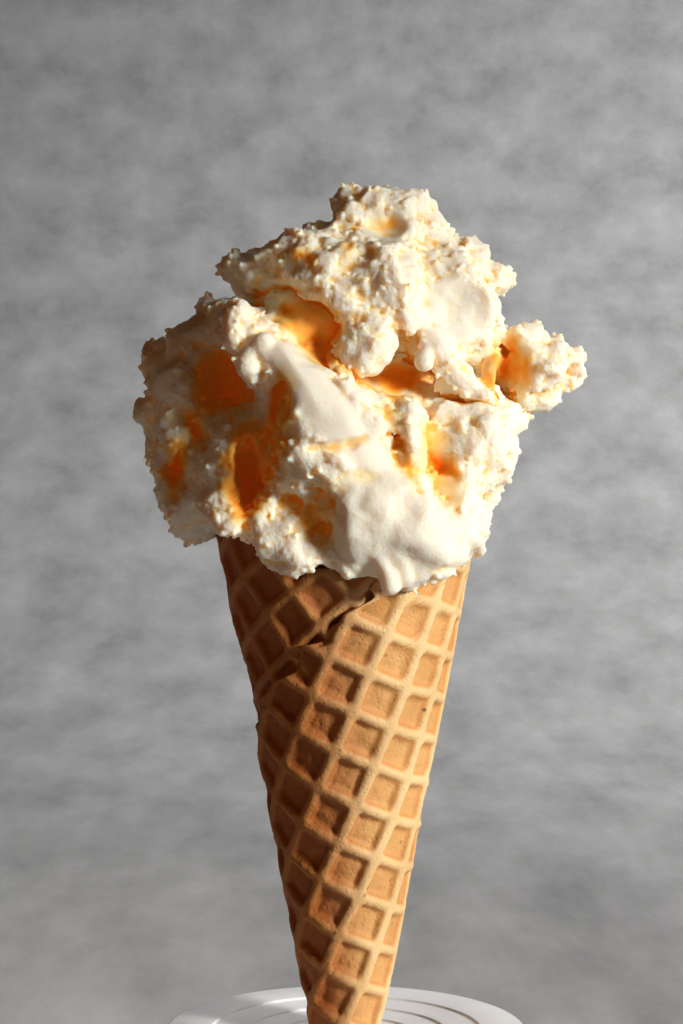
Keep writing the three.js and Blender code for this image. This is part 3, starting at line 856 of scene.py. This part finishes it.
# Centre, half sizes and turn of each cave, and the depth, pitch and seed of its ragged skin.
CAVES = (
    ((-28.7, -24, 35.5), (6.4, 14, 7.5), 5, (2.2, 5, 301)),
    ((-22.5, -29, 15), (4.6, 13, 11), 6, (2.4, 5, 302)),
    ((-16, -32, 29), (2.4, 9, 7), 12, (1.6, 4, 306)),
    ((-39, -18, 15), (2.2, 8, 6.5), 12, (1.6, 4, 303)),
    ((-34, -22, 24), (2.2, 8, 5), -20, (1.6, 4, 307)),
    ((-8.2, -35, 4.2), (2.0, 8, 3), 10, (1.2, 3, 304)),
)
LOBE_AND_GAP_END = (
    (add, (7.5, -25.5, 4.5), (11.5, 12.2, 12.6), -8, 2.5),
    (add, (1.6, -26.5, 4.5), (5.4, 10, 13), -6, 2.0),
    (cut, (-18, -27, 54), (9, 13, 4.5), 30, 2.0),
    (cut, (-7.4, -37, 6), (4.8, 10, 8.5), 4, 1.0),
)
GROOVE_AND_LIP = (
    (cut, ((8.1, 31.3), (12.6, 21), (16.5, 11.5)), (0.8, 1.5, 1.0), -0.2, 0.8),
    (add, ((15, 2), (20, -3), (25, -4)), (3.0, 2.6, 2.0), 1.8, 3.0),
)
# Smooth places: centre, half sizes, turn, and how smooth.
LOWER_SMOOTH = (
    ((-5.5, -34, 31), (21, 12, 5.4), 50, 0.88),
    ((10, -36, 2.5), (13.5, 16, 16), -14, 0.6),
    ((24, -24, -1), (7, 10, 7), 0, 0.8),
    ((-2, -22, 45), (17, 14, 7.5), 36, 1.0),
    ((13, -24, 37), (9.5, 13, 5), 0, 1.0),
    ((21.4, -33, 18), (2.6, 11, 11), -20, 0.9),
    ((-43, -12, 38), (3.6, 8, 7), 0, 0.7),
)
# The ridge's crest: places where it stays torn, with their half sizes and turn, and the bead of
# scraped ice cream that is folded over along it.
CREST = ((-8.1, 43.4), (-3.6, 40.1), (-0.3, 35.6), (2.6, 32.2), (4.9, 28.5), (7.5, 24.5))
CREST_SIZE = (3.4, 9, 2.6)
CREST_TURN = 50
CREST_BEAD = ((-8.5, 43), (-3.6, 39.6), (0, 35), (3, 31.5), (6, 27), (9, 22))
SCRATCH_AND_DRIPS = (
    (cut, ((-8.4, 20.6), (-2.5, 20.9), (0.8, 21.5), (4.2, 23)), (0.5, 1.0, 1.0, 0.4), 0.2, 1.2),
    (add, ((7.8, -4.5), (9.4, -8.0), (9.8, -10.6)), (1.5, 1.15, 1.4), 0.7, 1.2),
    (add, ((12.6, -5), (13.2, -7.0), (13.4, -8.4)), (1.2, 1.0, 1.2), 0.6, 1.2),
    (add, ((28.2, 0), (30.2, -2.6), (30.8, -4.6)), (1.6, 1.2, 1.4), 0.5, 1.2),
    (add, ((-18.6, 44), (-21.5, 41.4), (-22.4, 38.6)), (2.4, 2.0, 2.4), 0.8, 1.2),
)
# Hollows painted amber, as painted shade and as painted glow where light would come to them
# through the ice cream: centre, half sizes, turn and depth of colour. The gap's wall comes first,
# then the broken plate and its groove, the caves, the lobe's edge and the scratch.
LOWER_SHADE_AND_GLOW = (
    ((-5, -22, 45), (15, 13, 6), 38, 1.0),
    ((13, -24, 36), (9, 13, 4.5), 0, 1.5),
    ((21.2, -30, 17), (3.6, 11, 11), -20, 0.6),
    ((12.4, -32, 21.5), (1.5, 8, 11), -22, 0.8),
    ((-28.7, -18, 35.5), (8, 12, 9), 5, 1.1),
    ((-22.5, -24, 15), (6.5, 12, 12.5), 6, 1.1),
    ((-39, -15, 15), (3.5, 9, 8), 12, 1.0),
    ((-34, -18, 24), (3.5, 8, 6), -20, 0.9),
    ((-15.5, -30, 26), (4, 10, 13), 8, 0.85),
    ((-8.2, -32, 4), (3, 9, 4), 10, 1.0),
    ((-4.5, -31, 5), (2.6, 9, 9), 5, 0.65),
    ((-1, -36, 21), (6, 9, 0.6), -8, 0.6),
)
lower = softened(skin_distance("lower_scoop"), reach=1)
shape(lower, GAP_WALL)
for at, size, turn, torn_skin in CAVES:
    cut(lower, *ragged(lump(at, size, turn), *torn_skin))
shape(lower, LOBE_AND_GAP_END)
draw(lower, GROOVE_AND_LIP)
lower_rough = roughness_of(LOWER_SMOOTH)
for x, z in CREST:
    part, distance = lump((x + 1.2, -28, z + 0.6), CREST_SIZE, CREST_TURN, spare=2)
    lower_rough[part] = np.maximum(lower_rough[part], 1 - smooth(distance, -0.6, 0.8))
stroke(lower, add, CREST_BEAD, (1.1,) * len(CREST_BEAD), sink=0.5, blend=1.2)
crumble(lower, lower_rough, seed=200)
crumbs(lower, lower_rough, count=2600, seed=32)
draw(lower, SCRATCH_AND_DRIPS)

# Upper portion: ragged on the left, with a flap hanging over the gap. Its right side was scraped
# in one sweep, a bead ran down under it, and a nugget broke half away beyond it.
GAP_ROOF_AND_DENTS = (
    (cut, (-8, -29, 48.3), (7.8, 15, 6.2), 28, 1.0),
    (cut, (-15, -22, 48), (9, 14, 4.5), 35, 1.0),
    (cut, (-10.5, -27, 63.6), (4.2, 7, 2.6), 10, 1.0),
    (cut, (0.6, -25, 66), (2.4, 6, 2.2), 0, 1.0),
    (cut, (8.6, -16, 71.4), (5.6, 6, 3.6), 8, 1.5),
)
UPPER_SMOOTH = (
    ((8.6, -18, 71.4), (6.6, 10, 4.6), 8, 1.0),
    ((24.5, -28, 51), (10.5, 13, 9.5), 30, 0.66),
    ((38, -17, 38.5), (5.0, 9, 8.5), 8, 1.0),
    ((-9, -15, 48), (9.5, 9, 6.5), 30, 1.0),
    ((14, -14, 37), (12, 10, 3.5), 0, 0.9),
)
BEAD_TOP = np.array((18.6, -24.0, 42.8))
BEAD_END = np.array((17.5, -26.0, 39.6))
# Hollows of the upper portion painted amber, as painted shade and glow: centre, half sizes, turn and
# depth of colour.
UPPER_SHADE_AND_GLOW = (
    ((8.6, -14, 71.2), (4.6, 6, 2.8), 8, 0.45),
    ((37.0, -16, 38), (5.4, 10, 9), 8, 1.0),
    ((-9, -17, 48), (10.5, 10, 7), 30, 0.95),
    ((14, -14, 37), (12, 10, 3.5), 0, 1.4),
    ((-10.5, -25, 63.6), (4.5, 8, 3), 10, 1.0),
    ((0.6, -24, 66), (2.6, 7, 2.4), 0, 0.7),
)
upper = softened(skin_distance("upper_scoop"), reach=1)
shape(upper, GAP_ROOF_AND_DENTS)
upper_rough = roughness_of(UPPER_SMOOTH)
crumble(upper, upper_rough, seed=100)
crumbs(upper, upper_rough, count=1600, seed=31)
add(upper, *bar(BEAD_TOP, BEAD_END, thick_a=1.2, thick_b=2.3), blend=0.5)

# The lower portion keeps clear of the upper one that was pressed on it, and of the wafer.
lower = np.maximum(lower, CLEAR - upper)
lower = np.maximum(lower, CLEAR - cone_distance())


def thin(piece, share_kept, group=""):
    """Triangles are merged where the skin is flattest, in a group of vertices or all over."""
    thinned = piece.modifiers.new("thinned", "DECIMATE")
    thinned.ratio = share_kept
    thinned.vertex_group = group
    bpy.ops.object.modifier_apply(modifier="thinned")


def keep_outer_skin(piece, vertex):
    """Bubbles inside are deleted, as no edges join them to a vertex of the outer skin."""
    bpy.ops.object.mode_set(mode="EDIT")
    bpy.ops.mesh.select_mode(type="VERT")
    bpy.ops.mesh.select_all(action="DESELECT")
    bpy.ops.object.mode_set(mode="OBJECT")
    piece.data.vertices[vertex].select = True
    bpy.ops.object.mode_set(mode="EDIT")
    bpy.ops.mesh.select_linked()
    bpy.ops.mesh.select_all(action="INVERT")
    bpy.ops.mesh.delete(type="VERT")
    bpy.ops.object.mode_set(mode="OBJECT")


def skin_mesh(name, field, node):
    """The grid's zero skin as one closed mesh that takes the solid scoop's place."""
    raster = vdb.createLinearTransform(voxelSize=GRAIN)
    grid = vdb.FloatGrid(BAND * GRAIN)
    grid.transform = raster
    grid.copyFromArray(field, ijk=tuple(int(n) for n in first_cell))
    points, triangles, quads = grid.convertToPolygons(isovalue=0, adaptivity=0)
    faces = quads[:, ::-1].tolist() + triangles[:, ::-1].tolist()
    mesh = bpy.data.meshes.new(name)
    mesh.from_pydata((points + MOUTH) * MM, [], faces)
    piece = bpy.data.objects.new(name, mesh)
    bpy.context.scene.collection.objects.link(piece)
    only(piece)
    top = (0, 0, points[:, 2].max())
    keep_outer_skin(piece, int(np.argmin(((points - top) ** 2).sum(axis=1))))
    behind = np.nonzero(places_of(mesh)[:, 1] > BACK_FROM * MM)[0]
    back = piece.vertex_groups.new(name="back")
    back.add(behind.tolist(), 1.0, "REPLACE")
    thin(piece, 1 - len(behind) / len(mesh.vertices) * (1 - BACK_KEPT), "back")
    mesh.calc_loop_triangles()
    thin(piece, min(1, MOST_TRIANGLES / len(mesh.loop_triangles)))
    piece.vertex_groups.clear()
    bpy.ops.object.shade_smooth()
    lit_by_back_panel.objects.link(piece)
    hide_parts(node)
    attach(piece, "root")
    return piece


def looked_up(field, points):
    """A field's values at points of the grid, run together between its cells."""
    place = np.clip(points / GRAIN - first_cell, 0, cells - 1.001)
    corner = place.astype(int)
    f = place - corner
    value = 0
    for step in np.ndindex(2, 2, 2):
        weight = 1
        for n in range(3):
            weight = weight * (f[:, n] if step[n] else 1 - f[:, n])
        value = value + weight * field[tuple(corner[:, n] + step[n] for n in range(3))]
    return value


# Colours of the ice cream by how deep in its hollows a place is: its own cream, then painted shade
# from yellow to amber, and the faint painted glow of the deepest.
CREAM = (0.0, (0.955, 0.895, 0.745, 1))
PAINTED_CREASE_SHADE = (0.2, (0.96, 0.82, 0.50, 1))
PAINTED_HOLLOW_SHADE = (0.6, (0.98, 0.52, 0.10, 1))
PAINTED_DEEP_SHADE = (1.0, (0.92, 0.26, 0.015, 1))
NO_GLOW = (0.35, (0, 0, 0, 1))
PAINTED_GLOW = (1.0, (1.0, 0.34, 0.03, 1))


def frozen_cream():
    """Vanilla ice cream: pale cream, painted shade yellower in its creases and amber in its hollows,
    painted glow.
    """
    material, tree, shader = new_material("vanilla_ice_cream", (0.93, 0.86, 0.70), 0.65)
    painted_shade_and_glow = add_node(tree, "ShaderNodeAttribute", attribute_name="painted_shade_and_glow").outputs["Fac"]
    # Painted shade: cream turns yellow in creases and amber in deep hollows, by the value noted at each
    # vertex.
    tone = toned(tree, painted_shade_and_glow, CREAM, PAINTED_CREASE_SHADE, PAINTED_HOLLOW_SHADE, PAINTED_DEEP_SHADE)
    glow = toned(tree, painted_shade_and_glow, NO_GLOW, PAINTED_GLOW)
    tree.links.new(tone, shader.inputs["Base Color"])
    tree.links.new(glow, shader.inputs["Emission Color"])
    # Painted glow: the deepest hollows give off a faint amber light, standing in for light through the
    # ice cream.
    shader.inputs["Emission Strength"].default_value = 0.03
    shader.subsurface_method = "BURLEY"
    shader.inputs["Subsurface Weight"].default_value = 0.95
    shader.inputs["Subsurface Radius"].default_value = (1.0, 0.5, 0.18)
    shader.inputs["Subsurface Scale"].default_value = 3.8 * MM
    shader.inputs["Specular IOR Level"].default_value = 0.14
    place = add_node(tree, "ShaderNodeTexCoord").outputs["Object"]
    torn = add_node(tree, "ShaderNodeAttribute", attribute_name="torn").outputs["Fac"]
    strength = add_node(tree, "ShaderNodeMapRange", {"Value": torn, "To Min": 0.12, "To Max": 0.8})
    bump = add_node(tree, "ShaderNodeGroup", {
        "Vector": place, "Scale": 1100.0, "Detail": 4.0, "Share": 1.0,
        "Strength": strength.outputs["Result"], "Distance": 0.5 * MM,
    }, node_tree=grained)
    tree.links.new(bump.outputs["Normal"], shader.inputs["Normal"])
    return material


# What buried, hollowed and creased skin each adds to the painted amber shade and glow, and how mottled
# that is.
BURIED_REACH = 6
BURIED_SHARE = 0.55
HOLLOW_SHARE = 0.7
HOLLOW_EDGE = {"depth": 1.6, "pitch": 3.5, "seed": 40}
CREASE_DEPTH = 1.6
CREASE_SHARE = 0.40
MOTTLE_SHARE = 0.3
MOTTLE_PITCH = 1.7


def paint_shade_and_glow(points, amber):
    """How much painted amber shade and glow the skin gets at a set of points: where it is buried,
    hollowed out or creased.
    """
    hollows = np.zeros(cells, np.float32)
    for at, size, turn, depth in amber:
        part, distance = ragged(lump(at, size, turn, spare=2.5), **HOLLOW_EDGE)
        hollows[part] = np.maximum(hollows[part], depth * (1 - smooth(distance, -2.6, 1.2)))
    shade = BURIED_SHARE * smooth(looked_up(buried, points), 0.52, 0.85)
    shade += HOLLOW_SHARE * looked_up(hollows, points)
    shade += CREASE_SHARE * smooth(looked_up(creased, points), 0.02, 0.30)
    shade *= 1 + MOTTLE_SHARE * clouds(points, MOTTLE_PITCH, seed=50)
    return np.clip(shade, 0, 1)


# Where the painted shade goes: how deeply each cell is buried among ice cream, and how creased it is.
together = np.minimum(upper, lower)
buried = softened((together < 0).astype(np.float32), BURIED_REACH)
creased = -softened(np.clip(together, -CREASE_DEPTH, CREASE_DEPTH), reach=1)
cream = frozen_cream()
for name, field, rough, amber, node in (
    ("upper_portion", upper, upper_rough, UPPER_SHADE_AND_GLOW, "upper_scoop"),
    ("lower_portion", lower, lower_rough, LOWER_SHADE_AND_GLOW, "lower_scoop"),
):
    piece = skin_mesh(name, field, node)
    points = places_of(piece.data) / MM - MOUTH
    # Painted shade and glow, noted at every vertex for the material.
    note_down(piece, "painted_shade_and_glow", paint_shade_and_glow(points, amber))
    note_down(piece, "torn", looked_up(rough, points))
    piece.data.materials.append(cream)
